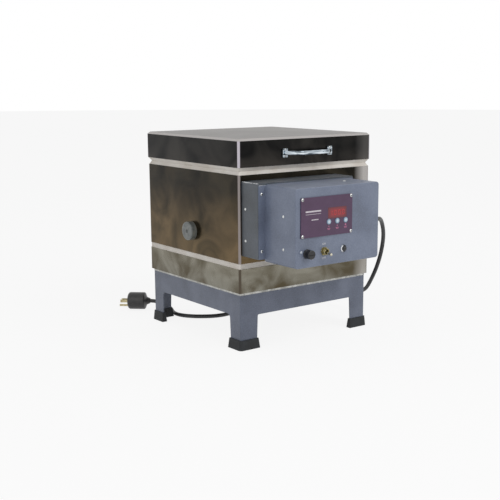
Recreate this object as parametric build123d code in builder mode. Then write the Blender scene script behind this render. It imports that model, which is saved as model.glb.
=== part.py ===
"""Top-loading electric kiln on a sheet stand, in millimetres.

Front is -Y, where the controls and the lid handle are, left is -X, up is +Z. The origin is on the
floor, midway between the outermost faces of the kiln: peephole plug to lid, and toggle to hinge.
"""
from build123d import *
from math import atan2, cos, pi, radians, sin, tan
import os

os.makedirs("parts", exist_ok=True)

# Firebrick and its sheet case
case_half = 165.0
band_sheet = 1.0
band_corner = 4.0
brick_wall = 63.5
wall_high = 180.0
slab_high = 52.2
lid_high = 60.0
bare_brick = 5.3
body_chamfer = 3.5
body_chamfer_high = 6.5
brick_half = case_half - band_sheet
brick_corner = band_corner - band_sheet
chamber_half = brick_half - brick_wall

# Lid
lid_overhang = 1.4
lid_chamfer = 5.5
lid_chamfer_high = 7.5
top_rim = 4.0
top_rim_high = 4.2
top_sheet = 1.0
top_crown = 2.5
crown_half = 20.0
lid_half = case_half + lid_overhang
lid_brick_half = lid_half - band_sheet

# Stand, its foot caps and the base pan
sole = 4.0
stand_high = 108.5
stand_inset = 4.3
stand_sheet = 2.5
stand_corner = 3.0
stand_flange = 20.0
apron_low = 66.0
front_leg_top = 41.0
front_leg_foot = 38.5
side_leg_top = 36.0
side_leg_foot = 33.0
front_opening_corner = 3.0
side_opening_corner = 8.0
cap_high = 19.5
cap_wall = 2.4
cap_flare = 6.0
cap_corner = 5.0
cap_web = 9.0
pan_high = 4.8
pan_sheet = 1.2
pan_hem = 2.6
pan_inset = 4.0
stand_half = case_half - stand_inset
pan_half = case_half - pan_inset

# Peephole and its ceramic plug
peep_z = 215.6
peep_r = 12.0
plug_gap = 0.5
plug_tip_r = 9.5
plug_shank = 45.0
plug_head_r = 19.0
plug_head = 12.0
plug_head_round = 2.5
plug_dimple_r = 4.0
plug_dimple = 3.0
plug_travel = 80.0

# Elements in their grooves, their terminals and the thermocouple
groove_pitch = 44.0
groove_count = 4
groove_high = 10.0
groove_deep = 12.0
groove_corner = 12.0
element_r = 4.0
element_gap = 0.3
terminal_inset = 8.5
pin_r = 2.0
pin_gap = 0.1
pin_tail = 18.0
bush_r = 6.0
bush_gap = 0.2
bush_head_r = 8.0
bush_head = 5.0
sheath_r = 3.5
sheath_gap = 0.2
sheath_in = 22.0
sheath_x = 22.0
sheath_out = 8.0
junction_wide = 26.0
junction_high = 18.0
junction_deep = 12.0
terminal_x = terminal_inset - chamber_half

# Control base: the spacer box on the front of the case
base_left = -159.0
base_right = 73.6
base_low = 186.0
base_top = 328.0
base_deep = 51.0
box_sheet = 1.5
base_lip = 14.0
base_corner = 2.0
wire_way_wide = 44.0
wire_way_high = 70.0

# Control cover: the hat that holds the controls, and its side flanges
cover_left = -143.7
cover_right = 58.3
cover_low = 180.5
cover_top = 325.3
cover_deep = 91.2
cover_corner = 6.0
cover_edge = 1.8
flange_inset = 0.8
strip_screws = (202.0, 308.0)
side_rivets = (212.0, 272.4)
side_rivet_in = 56.0
base_rivets = (217.0, 277.0)
base_rivet_in = 12.0
top_screw_x = 8.7
top_screw_in = 48.0
screw_head_r = 2.9
screw_head = 1.6
screw_r = 1.5
screw_long = 7.0
screw_gap = 0.1
rivet_head_r = 2.6
rivet_head = 1.0
rivet_r = 1.6

# Controller: plate, window, keys and board
plate_left = -133.0
plate_right = -11.0
plate_low = 235.5
plate_top = 308.0
plate_thick = 2.0
plate_corner = 1.5
plate_margin = 3.2
wall_window_edge = 7.0
window_left = -70.0
window_right = -25.0
window_low = 266.0
window_top = 286.5
window_gap = 0.1
key_xs = (-67.9, -47.6, -27.4)
key_names = ("left", "middle", "right")
key_z = 260.7
key_r = 5.2
key_gap = 0.3
key_proud = 1.3
key_lip = 1.0
key_lip_high = 1.2
key_travel = 1.0
board_gap = 8.0
board_thick = 1.6
board_margin = 3.0
standoff_r = 2.8
digits_gap = 0.4
digits_edge = 2.0
switch_gap = 0.4
switch_half = 3.0

# Fuse holder, toggle switch, push button and lamp along the foot of the cover
fuse_x = -117.5
fuse_z = 206.3
fuse_neck_r = 6.2
fuse_collar_r = 8.8
fuse_collar = 3.0
fuse_bore_r = 4.0
fuse_tail = 36.0
fuse_cap_r = 8.4
fuse_cap_long = 12.0
fuse_cap_gap = 0.3
fuse_cap_slot = 1.6
fuse_spigot_r = 3.5
fuse_spigot = 6.0
fuse_r = 2.6
fuse_long = 26.0
toggle_x = -77.6
toggle_z = 207.3
toggle_neck_r = 6.0
toggle_neck = 8.5
toggle_bore_r = 4.5
toggle_ball_r = 4.0
toggle_ball_gap = 0.2
toggle_pin_r = 1.2
toggle_pin_half = 4.25
toggle_sunk = 7.0
toggle_nut_flat = 7.0
toggle_nut_high = 2.4
toggle_lever_r = 1.7
toggle_tip_r = 2.7
toggle_lever = 19.0
toggle_rest = 11.0
toggle_body_wide = 14.0
toggle_body_high = 28.0
toggle_body_deep = 22.0
button_x = -30.4
button_z = 207.1
button_neck_r = 5.6
button_bezel_r = 6.9
button_bezel = 2.6
button_bore_r = 4.7
button_gap = 0.3
button_proud = 5.4
button_dome = 1.8
button_skirt = 9.0
button_travel = 2.5
button_tail = 16.0
lamp_x = -131.0
lamp_z = 210.7
lamp_r = 2.4
lamp_proud = 1.6
lamp_tail = 6.0
panel_gap = 0.1

# Parts on the control base, inside the cover: relay, transformer and terminal block
relay_x = -34.0
relay_z = 268.0
relay_size = (38.0, 50.0, 30.0)
transformer_x = 22.0
transformer_z = 262.0
core_size = (44.0, 38.0, 16.0)
coil_size = (30.0, 46.0, 36.0)
block_x = 10.0
block_z = 206.0
block_size = (62.0, 20.0, 18.0)
block_ways = 3

# Lid handle
handle_x = -2.0
handle_z = 376.0
handle_spacing = 112.0
handle_grip = 68.0
handle_reach = 24.0
handle_bend = 14.0
grip_high = 8.6
grip_deep = 6.5
grip_groove = 1.2
foot_wide = 12.0
foot_high = 17.0
foot_thick = 3.0
foot_round = 2.0
foot_screw_rise = 6.4
foot_screw_head_r = 1.9
foot_screw_head = 1.0
foot_screw_r = 1.2
foot_screw_long = 11.0

# Rear hinge
hinge_long = 150.0
knuckle_count = 5
knuckle_gap = 0.4
knuckle_r = 6.5
hinge_pin_r = 3.0
hinge_pin_gap = 0.05
hinge_pin_head_r = 5.0
hinge_pin_head = 2.5
leaf = 2.5
hinge_stand_off = 9.3
body_leaf_high = 46.0
lid_leaf_high = 38.0
leaf_gap = 0.4
leaf_screw_xs = (-50.0, 0.0, 50.0)
leaf_screw_long = 12.0
leaf_corner = 6.0

# Power cord, its strain relief and its plug
cord_r = 4.25
relief_in = 24.0
relief_z = 238.0
relief_long = 34.7
relief_flange_r = 12.0
relief_flange = 3.0
relief_root_r = 8.0
relief_tip_r = 5.6
relief_neck_r = 7.5
relief_nut_r = 11.0
relief_nut = 4.0
floor_gap = 0.05
plug_r = 19.3
plug_long = 50.0
plug_boot_r = 6.0
plug_neck_r = 8.8
plug_boot = 7.0
plug_shoulder = 4.5
plug_shoulder_round = 3.5
plug_face_round = 6.5
blade_long = 17.0
blade_wide = 6.4
blade_thick = 1.6
blade_apart = 6.35
ground_r = 2.4
ground_drop = 11.0
ground_long = 20.0

# Heights above the floor, from the stand up
slab_z = stand_high + pan_high
wall_z = slab_z + slab_high
lid_z = wall_z + wall_high
lid_top_z = lid_z + lid_high
lid_band_top = lid_top_z + top_sheet - top_rim_high
groove_zs = [peep_z + (i - 0.5) * groove_pitch for i in range(groove_count)]
terminal_zs = groove_zs[1:3]
sheath_z = sum(terminal_zs) / 2

# Reaches from the kiln's centre line to the front faces, the toggle's tip and the hinge
base_face = case_half + base_deep
cover_face = base_face + cover_deep
plate_face = cover_face + plate_thick
base_rivet_reach = case_half + base_rivet_in
side_rivet_reach = base_face + side_rivet_in
top_screw_reach = base_face + top_screw_in
relief_reach = base_face + relief_in
fuse_face = cover_face + fuse_collar
fuse_tip = fuse_face + fuse_cap_gap + fuse_cap_long
hinge_y = lid_half + hinge_stand_off
hinge_back = hinge_y + knuckle_r
toggle_pivot = cover_face + toggle_neck - toggle_sunk
toggle_tip = toggle_pivot + toggle_lever * cos(radians(toggle_rest)) + toggle_tip_r
plug_back = case_half + plug_head

# The kiln's centre line, measured from the origin
kiln_x = (plug_back - lid_half) / 2
kiln_y = (toggle_tip - hinge_back) / 2


def at(x, y, z):
    """A point given from the kiln's centre line and the floor."""
    return Vector(kiln_x + x, kiln_y + y, z)


def level(z, x=0.0, y=0.0):
    """A plane that faces up."""
    return Plane(origin=at(x, y, z), x_dir=(1, 0, 0), z_dir=(0, 0, 1))


def front(reach, x=0.0, z=0.0):
    """A plane that faces forward, its drawing's x to the right and y up."""
    return Plane(origin=at(x, -reach, z), x_dir=(1, 0, 0), z_dir=(0, -1, 0))


def back(reach, x=0.0, z=0.0):
    """A plane that faces the rear, its drawing's y up."""
    return Plane(origin=at(x, reach, z), x_dir=(-1, 0, 0), z_dir=(0, 1, 0))


def left(reach, y=0.0, z=0.0):
    """A plane that faces left, its drawing's y up."""
    return Plane(origin=at(-reach, y, z), x_dir=(0, -1, 0), z_dir=(-1, 0, 0))


def right(reach, y=0.0, z=0.0):
    """A plane that faces right, its drawing's x to the rear and y up."""
    return Plane(origin=at(reach, y, z), x_dir=(0, 1, 0), z_dir=(1, 0, 0))


def square(z, half, corner=0.0):
    """A level square section of the kiln."""
    with BuildSketch(level(z)) as section:
        if corner > 0:
            RectangleRounded(2 * half, 2 * half, corner)
        else:
            Rectangle(2 * half, 2 * half)
    return section.sketch


def disc(plane, radius):
    """A round section."""
    with BuildSketch(plane) as section:
        Circle(radius)
    return section.sketch


def panel(reach, x_low, x_high, z_low, z_high, corner=0.0):
    """A rectangular section that faces forward, given by its edges."""
    with BuildSketch(front(reach, (x_low + x_high) / 2, (z_low + z_high) / 2)) as section:
        if corner > 0:
            RectangleRounded(x_high - x_low, z_high - z_low, corner)
        else:
            Rectangle(x_high - x_low, z_high - z_low)
    return section.sketch


def save(piece, name):
    """Label a finished piece and write it."""
    piece.part.label = name
    export_step(piece.part, f"parts/{name}.step")


def band(z_low, z_high, half):
    """A strip of case sheet wrapped round the bricks."""
    with BuildPart() as ring:
        extrude(square(z_low, half, band_corner), amount=z_high - z_low)
        extrude(
            square(z_low, half - band_sheet, band_corner - band_sheet),
            amount=z_high - z_low,
            mode=Mode.SUBTRACT,
        )
    return ring.part


def pan_head_screw(plane, head_r, head, shank_r, shank):
    """A screw whose domed head sits on the plane and whose shank goes in behind it."""
    with BuildPart() as screw:
        extrude(disc(plane, head_r), amount=head)
        crown = screw.faces().sort_by(lambda face: plane.to_local_coords(face.center()).Z)[-1]
        chamfer(crown.edges(), head * 0.8, head * 0.5, reference=crown)
        extrude(disc(plane, shank_r), amount=-shank)
    return screw.part


# Stand: an apron with four L-section legs, and a flange turned in at the top
with BuildPart() as stand:
    extrude(square(sole, stand_half, stand_corner), amount=stand_high - sole)
    extrude(
        square(sole, stand_half - stand_sheet, 0.5),
        amount=stand_high - stand_sheet - sole,
        mode=Mode.SUBTRACT,
    )
    extrude(
        square(sole, stand_half - stand_flange, stand_corner), amount=stand_high - sole, mode=Mode.SUBTRACT
    )
    for plane, top, foot, corner in (
        (front(stand_half), front_leg_top, front_leg_foot, front_opening_corner),
        (left(stand_half), side_leg_top, side_leg_foot, side_opening_corner),
    ):
        with BuildSketch(plane) as opening:
            with BuildLine():
                Polyline(
                    (foot - stand_half, sole),
                    (top - stand_half, apron_low),
                    (stand_half - top, apron_low),
                    (stand_half - foot, sole),
                    close=True,
                )
            make_face()
            fillet(opening.vertices().group_by(Axis.Y)[-1], corner)
        extrude(opening.sketch, amount=-2 * stand_half, mode=Mode.SUBTRACT)
save(stand, "stand")

# Foot caps: an L-shaped rubber boot round the foot of each leg, wider at the sole
cap_outer = stand_half + cap_wall
cap_inner = stand_half - stand_sheet - cap_wall
cap_reach_x = stand_half - front_leg_foot - cap_wall
cap_reach_y = stand_half - side_leg_foot - cap_wall
with BuildPart() as foot_caps:
    with BuildSketch(level(cap_high)) as boot:
        with BuildLine():
            Polyline(
                (-cap_outer, -cap_outer),
                (-cap_reach_x, -cap_outer),
                (-cap_reach_x, -cap_inner),
                (-cap_inner, -cap_inner),
                (-cap_inner, -cap_reach_y),
                (-cap_outer, -cap_reach_y),
                close=True,
            )
        make_face()
        fillet(boot.vertices().sort_by_distance((-cap_inner, -cap_inner))[0], cap_web)
        fillet(boot.vertices().sort_by_distance((-cap_outer, -cap_outer))[0], cap_corner)
    extrude(amount=-cap_high, taper=-cap_flare)
    mirror(about=Plane(origin=at(0, 0, 0), z_dir=(1, 0, 0)))
    mirror(about=Plane(origin=at(0, 0, 0), z_dir=(0, 1, 0)))
    add(stand.part, mode=Mode.SUBTRACT)
save(foot_caps, "foot_caps")

# Base pan: a sheet tray turned upside down on the stand, under the floor slab
with BuildPart() as base_pan:
    extrude(square(stand_high, pan_half, pan_hem), amount=pan_high)
    extrude(square(stand_high, pan_half - pan_hem), amount=pan_high - pan_sheet, mode=Mode.SUBTRACT)
save(base_pan, "base_pan")

# Floor slab and the band round it
with BuildPart() as floor_brick:
    extrude(square(slab_z, brick_half, brick_corner), amount=slab_high)
save(floor_brick, "floor_brick")

with BuildPart() as floor_band:
    add(band(slab_z, wall_z - bare_brick, case_half))
save(floor_band, "floor_band")

# The four walls as one ring, with its grooves and its bores, cut apart below
groove_half = chamber_half + groove_deep
with BuildPart() as walls:
    extrude(square(wall_z, brick_half, brick_corner), amount=wall_high - body_chamfer_high)
    loft(
        [
            square(lid_z - body_chamfer_high, brick_half, brick_corner),
            square(lid_z, brick_half - body_chamfer, brick_corner),
        ]
    )
    extrude(square(wall_z, chamber_half), amount=wall_high, mode=Mode.SUBTRACT)
    for z in groove_zs:
        extrude(
            square(z - groove_high / 2, groove_half, groove_corner), amount=groove_high, mode=Mode.SUBTRACT
        )
    for z in terminal_zs:
        extrude(
            disc(front(brick_half, terminal_x, z), bush_r + bush_gap),
            amount=groove_half - brick_half,
            mode=Mode.SUBTRACT,
        )
    extrude(
        disc(front(brick_half, sheath_x, sheath_z), sheath_r + sheath_gap),
        amount=-brick_wall,
        mode=Mode.SUBTRACT,
    )
    extrude(disc(left(brick_half, z=peep_z), peep_r), amount=-brick_wall, mode=Mode.SUBTRACT)
    for x in leaf_screw_xs:
        body_screw = disc(back(brick_half, x, lid_z - body_leaf_high / 2), screw_r + screw_gap)
        extrude(body_screw, amount=leaf + band_sheet - leaf_screw_long, mode=Mode.SUBTRACT)

with BuildPart() as front_wall:
    add(walls.part)
    split(bisect_by=front(chamber_half), keep=Keep.TOP)
save(front_wall, "front_wall")

with BuildPart() as back_wall:
    add(walls.part)
    split(bisect_by=back(chamber_half), keep=Keep.TOP)
save(back_wall, "back_wall")

for name, side in (("left_wall", left(0)), ("right_wall", right(0))):
    with BuildPart() as side_wall:
        add(walls.part)
        split(bisect_by=front(chamber_half), keep=Keep.BOTTOM)
        split(bisect_by=back(chamber_half), keep=Keep.BOTTOM)
        split(bisect_by=side, keep=Keep.TOP)
    save(side_wall, name)

with BuildPart() as body_band:
    add(band(wall_z + bare_brick, lid_z - body_chamfer_high, case_half))
    for z in terminal_zs:
        extrude(
            disc(front(case_half, terminal_x, z), bush_r + bush_gap),
            amount=-2 * band_sheet,
            mode=Mode.SUBTRACT,
        )
    extrude(
        disc(front(case_half, sheath_x, sheath_z), sheath_r + sheath_gap),
        amount=-2 * band_sheet,
        mode=Mode.SUBTRACT,
    )
    extrude(disc(left(case_half, z=peep_z), peep_r), amount=-2 * band_sheet, mode=Mode.SUBTRACT)
    for x in leaf_screw_xs:
        leaf_screw = disc(back(case_half, x, lid_z - body_leaf_high / 2), screw_r + screw_gap)
        extrude(leaf_screw, amount=-2 * band_sheet, mode=Mode.SUBTRACT)
save(body_band, "body_band")

# Heating elements: each coil as a round bar in the foot of its groove
element_half = groove_half - element_gap - element_r
with BuildPart() as heating_elements:
    for z in groove_zs:
        element_z = z - groove_high / 2 + element_gap + element_r
        with BuildSketch(level(element_z)) as course:
            RectangleRounded(2 * element_half, 2 * element_half, groove_corner)
        loop = course.sketch.face().outer_wire()
        with BuildSketch(Plane(origin=loop @ 0, z_dir=loop % 0)) as coil:
            Circle(element_r)
        sweep(sections=coil.sketch, path=loop)
save(heating_elements, "heating_elements")

# Element terminals: a pin through a ceramic bush, from the groove to the control base
with BuildPart() as terminal_bushes:
    for z in terminal_zs:
        extrude(disc(front(groove_half, terminal_x, z), bush_r), amount=case_half - groove_half)
        extrude(disc(front(case_half, terminal_x, z), bush_head_r), amount=bush_head)
        hole = disc(front(groove_half, terminal_x, z), pin_r + pin_gap)
        extrude(hole, amount=case_half + bush_head - groove_half, mode=Mode.SUBTRACT)
save(terminal_bushes, "terminal_bushes")

with BuildPart() as terminal_pins:
    for z in terminal_zs:
        pin_from = groove_half - element_gap
        extrude(disc(front(pin_from, terminal_x, z), pin_r), amount=case_half + pin_tail - pin_from)
save(terminal_pins, "terminal_pins")

# Thermocouple: a sheath through the front wall and the junction block on the case
with BuildPart() as thermocouple_block:
    block_edges = (
        sheath_x - junction_wide / 2,
        sheath_x + junction_wide / 2,
        sheath_z - junction_high / 2,
        sheath_z + junction_high / 2,
    )
    extrude(panel(case_half, *block_edges, rivet_r), amount=junction_deep)
    extrude(
        disc(front(case_half, sheath_x, sheath_z), sheath_r + sheath_gap),
        amount=sheath_out,
        mode=Mode.SUBTRACT,
    )
save(thermocouple_block, "thermocouple_block")

with BuildPart() as thermocouple_sheath:
    sheath_from = chamber_half - sheath_in
    extrude(
        disc(front(sheath_from, sheath_x, sheath_z), sheath_r), amount=case_half + sheath_out - sheath_from
    )
    chamfer(thermocouple_sheath.faces().sort_by(Axis.Y)[-1].edges(), sheath_r * 0.6)
save(thermocouple_sheath, "thermocouple_sheath")

# Peephole plug: a head that lies on the case and a tapered shank in the bore
with BuildPart() as peephole_plug:
    with BuildSketch(Plane(origin=at(-case_half, 0, peep_z), x_dir=(-1, 0, 0), z_dir=(0, 1, 0))) as half_plug:
        with BuildLine():
            Polyline(
                (-plug_shank, 0),
                (-plug_shank, plug_tip_r),
                (0, peep_r - plug_gap),
                (0, plug_head_r),
                (plug_head, plug_head_r),
                (plug_head, plug_dimple_r),
                (plug_head - plug_dimple, plug_dimple_r * 0.6),
                (plug_head - plug_dimple, 0),
                close=True,
            )
        make_face()
        fillet(half_plug.vertices().sort_by_distance((plug_head, plug_head_r))[0], plug_head_round)
    revolve(axis=Axis(at(-case_half, 0, peep_z), (1, 0, 0)))
save(peephole_plug, "peephole_plug")

# Control base: an open-backed box on the case, with lips turned in against it
strip_xs = ((base_left + cover_left) / 2, (base_right + cover_right) / 2)
with BuildPart() as control_base:
    extrude(panel(case_half, base_left, base_right, base_low, base_top, base_corner), amount=base_deep)
    inner_base = (base_left + box_sheet, base_right - box_sheet, base_low + box_sheet, base_top - box_sheet)
    extrude(panel(case_half, *inner_base), amount=base_deep - box_sheet, mode=Mode.SUBTRACT)
    for x_low, x_high in ((base_left, base_left + base_lip), (base_right - base_lip, base_right)):
        extrude(panel(case_half, x_low, x_high, base_low, base_top, base_corner * 0.5), amount=box_sheet)
    wire_way = (
        terminal_x - wire_way_wide / 2,
        terminal_x + wire_way_wide / 2,
        sheath_z - wire_way_high / 2,
        sheath_z + wire_way_high / 2,
    )
    extrude(panel(base_face, *wire_way, base_corner), amount=-2 * box_sheet, mode=Mode.SUBTRACT)
    for x in strip_xs:
        for z in strip_screws:
            extrude(
                disc(front(base_face, x, z), screw_r + screw_gap), amount=-2 * box_sheet, mode=Mode.SUBTRACT
            )
    for z in base_rivets:
        for side in (left(-base_left, -base_rivet_reach, z), right(base_right, -base_rivet_reach, z)):
            extrude(disc(side, rivet_r + screw_gap), amount=-2 * box_sheet, mode=Mode.SUBTRACT)
save(control_base, "control_base")

# Control cover: a hat over the base with a flange down each side
plate_x = (plate_left + plate_right) / 2
plate_z = (plate_low + plate_top) / 2
plate_screw_xs = (plate_left + plate_margin, plate_right - plate_margin)
plate_screw_zs = (plate_low + plate_margin, plate_top - plate_margin)
with BuildPart() as control_cover:
    extrude(panel(base_face, cover_left, cover_right, cover_low, cover_top, cover_corner), amount=cover_deep)
    fillet(control_cover.faces().sort_by(Axis.Y)[0].edges(), cover_edge)
    inner_cover = (
        cover_left + box_sheet, cover_right - box_sheet, cover_low + box_sheet, cover_top - box_sheet
    )
    inner_corner = cover_corner - box_sheet
    extrude(panel(base_face, *inner_cover, inner_corner), amount=cover_deep - box_sheet, mode=Mode.SUBTRACT)
    flange_low = base_low + flange_inset
    for x_low, x_high in (
        (base_left + flange_inset, cover_left + box_sheet),
        (cover_right - box_sheet, base_right - flange_inset),
    ):
        extrude(panel(base_face, x_low, x_high, flange_low, cover_top - flange_inset), amount=box_sheet)
    for x in strip_xs:
        for z in strip_screws:
            extrude(
                disc(front(base_face, x, z), screw_r + screw_gap), amount=2 * box_sheet, mode=Mode.SUBTRACT
            )
    wall_window = (
        plate_left + wall_window_edge,
        plate_right - wall_window_edge,
        plate_low + wall_window_edge,
        plate_top - wall_window_edge,
    )
    extrude(panel(cover_face, *wall_window), amount=-2 * box_sheet, mode=Mode.SUBTRACT)
    for x in plate_screw_xs:
        for z in plate_screw_zs:
            extrude(
                disc(front(cover_face, x, z), screw_r + screw_gap), amount=-2 * box_sheet, mode=Mode.SUBTRACT
            )
    for x, z, r in (
        (fuse_x, fuse_z, fuse_neck_r),
        (toggle_x, toggle_z, toggle_neck_r),
        (button_x, button_z, button_neck_r),
        (lamp_x, lamp_z, lamp_r),
    ):
        extrude(disc(front(cover_face, x, z), r + panel_gap), amount=-2 * box_sheet, mode=Mode.SUBTRACT)
    for z in side_rivets:
        for side in (left(-cover_left, -side_rivet_reach, z), right(cover_right, -side_rivet_reach, z)):
            extrude(disc(side, rivet_r + screw_gap), amount=-2 * box_sheet, mode=Mode.SUBTRACT)
    extrude(
        disc(level(cover_top, top_screw_x, -top_screw_reach), screw_r + screw_gap),
        amount=-2 * box_sheet,
        mode=Mode.SUBTRACT,
    )
    relief_hole = disc(right(cover_right, -relief_reach, relief_z), relief_neck_r + panel_gap)
    extrude(relief_hole, amount=-2 * box_sheet, mode=Mode.SUBTRACT)
save(control_cover, "control_cover")

with BuildPart() as cover_screws:
    for x in strip_xs:
        for z in strip_screws:
            add(
                pan_head_screw(front(base_face + box_sheet, x, z), screw_head_r, screw_head, screw_r, screw_long),
            )
    add(
        pan_head_screw(level(cover_top, top_screw_x, -top_screw_reach), screw_head_r, screw_head, screw_r, screw_long),
    )
save(cover_screws, "cover_screws")

with BuildPart() as box_rivets:
    for z in side_rivets:
        for side in (left(-cover_left, -side_rivet_reach, z), right(cover_right, -side_rivet_reach, z)):
            add(pan_head_screw(side, rivet_head_r, rivet_head, rivet_r, 2 * box_sheet))
    for z in base_rivets:
        for side in (left(-base_left, -base_rivet_reach, z), right(base_right, -base_rivet_reach, z)):
            add(pan_head_screw(side, rivet_head_r, rivet_head, rivet_r, 2 * box_sheet))
save(box_rivets, "box_rivets")

# Controller plate with its window and its screws
with BuildPart() as controller_plate:
    extrude(
        panel(cover_face, plate_left, plate_right, plate_low, plate_top, plate_corner), amount=plate_thick
    )
    extrude(
        panel(plate_face, window_left, window_right, window_low, window_top),
        amount=-plate_thick,
        mode=Mode.SUBTRACT,
    )
    for x in key_xs:
        extrude(disc(front(plate_face, x, key_z), key_r + key_gap), amount=-plate_thick, mode=Mode.SUBTRACT)
    for x in plate_screw_xs:
        for z in plate_screw_zs:
            extrude(
                disc(front(plate_face, x, z), screw_r + screw_gap), amount=-plate_thick, mode=Mode.SUBTRACT
            )
save(controller_plate, "controller_plate")

with BuildPart() as plate_screws:
    for x in plate_screw_xs:
        for z in plate_screw_zs:
            add(
                pan_head_screw(front(plate_face, x, z), screw_head_r, screw_head, screw_r, screw_long + plate_thick),
            )
save(plate_screws, "plate_screws")

with BuildPart() as display_window:
    pane = (
        window_left + window_gap, window_right - window_gap, window_low + window_gap, window_top - window_gap
    )
    extrude(panel(plate_face, *pane), amount=-plate_thick)
save(display_window, "display_window")

# Controller board: a card on four posts, with the digits and a switch under each key
board_face = cover_face - box_sheet - board_gap
with BuildPart() as controller_board:
    card = (
        plate_left + board_margin - standoff_r,
        plate_right - board_margin + standoff_r,
        plate_low + board_margin - standoff_r,
        plate_top - board_margin + standoff_r,
    )
    extrude(panel(board_face, *card), amount=-board_thick)
    for x in plate_screw_xs:
        for z in plate_screw_zs:
            extrude(disc(front(board_face, x, z), standoff_r), amount=board_gap)
            extrude(disc(front(board_face, x, z), screw_r + screw_gap), amount=board_gap, mode=Mode.SUBTRACT)
    digits = (
        window_left + digits_edge,
        window_right - digits_edge,
        window_low + digits_edge,
        window_top - digits_edge,
    )
    extrude(panel(board_face, *digits), amount=cover_face - board_face - digits_gap)
    switch_high = cover_face - key_lip_high - key_travel - switch_gap - board_face
    for x in key_xs:
        key_switch = (x - switch_half, x + switch_half, key_z - switch_half, key_z + switch_half)
        extrude(panel(board_face, *key_switch), amount=switch_high)
save(controller_board, "controller_board")

# Keys: a domed cap through the plate and a lip behind it
for name, x in zip(key_names, key_xs):
    with BuildPart() as key:
        extrude(disc(front(cover_face, x, key_z), key_r), amount=plate_thick + key_proud)
        chamfer(key.faces().sort_by(Axis.Y)[0].edges(), key_proud * 0.6)
        extrude(disc(front(cover_face, x, key_z), key_r + key_lip), amount=-key_lip_high)
    save(key, f"key_{name}")

# Fuse holder and its cap, with the fuse on the cap's spigot
with BuildPart() as fuse_holder:
    extrude(disc(front(cover_face, fuse_x, fuse_z), fuse_collar_r), amount=fuse_collar)
    chamfer(fuse_holder.faces().sort_by(Axis.Y)[0].edges(), fuse_collar * 0.3)
    extrude(disc(front(cover_face, fuse_x, fuse_z), fuse_neck_r), amount=-fuse_tail)
    bore_deep = fuse_collar + fuse_tail - box_sheet
    extrude(disc(front(fuse_face, fuse_x, fuse_z), fuse_bore_r), amount=-bore_deep, mode=Mode.SUBTRACT)
save(fuse_holder, "fuse_holder")

with BuildPart() as fuse_cap:
    cap_face = fuse_face + fuse_cap_gap
    extrude(disc(front(cap_face, fuse_x, fuse_z), fuse_cap_r), amount=fuse_cap_long)
    chamfer(fuse_cap.faces().sort_by(Axis.Y)[0].edges(), fuse_cap_slot)
    slot = (fuse_x - fuse_cap_r, fuse_x + fuse_cap_r, fuse_z - fuse_cap_slot / 2, fuse_z + fuse_cap_slot / 2)
    extrude(panel(fuse_tip, *slot), amount=-fuse_cap_slot, mode=Mode.SUBTRACT)
    extrude(disc(front(cap_face, fuse_x, fuse_z), fuse_spigot_r), amount=-fuse_spigot)
save(fuse_cap, "fuse_cap")

with BuildPart() as fuse_link:
    extrude(disc(front(cap_face - fuse_spigot, fuse_x, fuse_z), fuse_r), amount=-fuse_long)
save(fuse_link, "fuse_link")

# Toggle switch: a threaded neck with a nut, the body behind the panel, and the lever on its pin
toggle_floor = toggle_pivot - toggle_ball_r - toggle_ball_gap
with BuildPart() as toggle_switch:
    switch_body = (
        toggle_x - toggle_body_wide / 2,
        toggle_x + toggle_body_wide / 2,
        toggle_z - toggle_body_high / 2,
        toggle_z + toggle_body_high / 2,
    )
    extrude(panel(cover_face - box_sheet, *switch_body), amount=-toggle_body_deep)
    extrude(
        disc(front(cover_face - box_sheet, toggle_x, toggle_z), toggle_neck_r), amount=box_sheet + toggle_neck
    )
    neck_top = disc(front(toggle_floor, toggle_x, toggle_z), toggle_bore_r)
    extrude(neck_top, amount=cover_face + toggle_neck - toggle_floor, mode=Mode.SUBTRACT)
save(toggle_switch, "toggle_switch")

with BuildPart() as toggle_nut:
    with BuildSketch(front(cover_face, toggle_x, toggle_z)) as hexagon:
        RegularPolygon(toggle_nut_flat, 6, major_radius=False)
        Circle(toggle_neck_r + panel_gap, mode=Mode.SUBTRACT)
    extrude(amount=toggle_nut_high)
save(toggle_nut, "toggle_nut")

with BuildPart() as toggle_lever_bar:
    lever_way = Vector(0, -cos(radians(toggle_rest)), -sin(radians(toggle_rest)))
    lever_from = at(toggle_x, -toggle_pivot, toggle_z)
    with Locations(lever_from):
        Sphere(toggle_ball_r)
    pin_end = Plane(origin=lever_from - Vector(toggle_pin_half, 0, 0), z_dir=(1, 0, 0))
    extrude(disc(pin_end, toggle_pin_r), amount=2 * toggle_pin_half)
    root = Plane(origin=lever_from, z_dir=lever_way)
    tip = Plane(origin=lever_from + lever_way * toggle_lever, z_dir=lever_way)
    loft([disc(root, toggle_lever_r), disc(tip, toggle_tip_r)])
    with Locations(tip.origin):
        Sphere(toggle_tip_r)
save(toggle_lever_bar, "toggle_lever")

# Push button in its bezel
with BuildPart() as button_bezel_ring:
    extrude(disc(front(cover_face, button_x, button_z), button_bezel_r), amount=button_bezel)
    chamfer(button_bezel_ring.faces().sort_by(Axis.Y)[0].edges(), button_bezel * 0.5)
    extrude(disc(front(cover_face, button_x, button_z), button_neck_r), amount=-button_tail)
    button_face = cover_face + button_bezel
    way = disc(front(button_face, button_x, button_z), button_bore_r)
    extrude(way, amount=box_sheet - button_bezel - button_tail, mode=Mode.SUBTRACT)
save(button_bezel_ring, "button_bezel")

with BuildPart() as push_button:
    button_tip = cover_face + button_proud
    extrude(
        disc(front(button_tip, button_x, button_z), button_bore_r - button_gap),
        amount=-button_proud - button_skirt,
    )
    fillet(push_button.faces().sort_by(Axis.Y)[0].edges(), button_dome)
save(push_button, "push_button")

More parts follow.
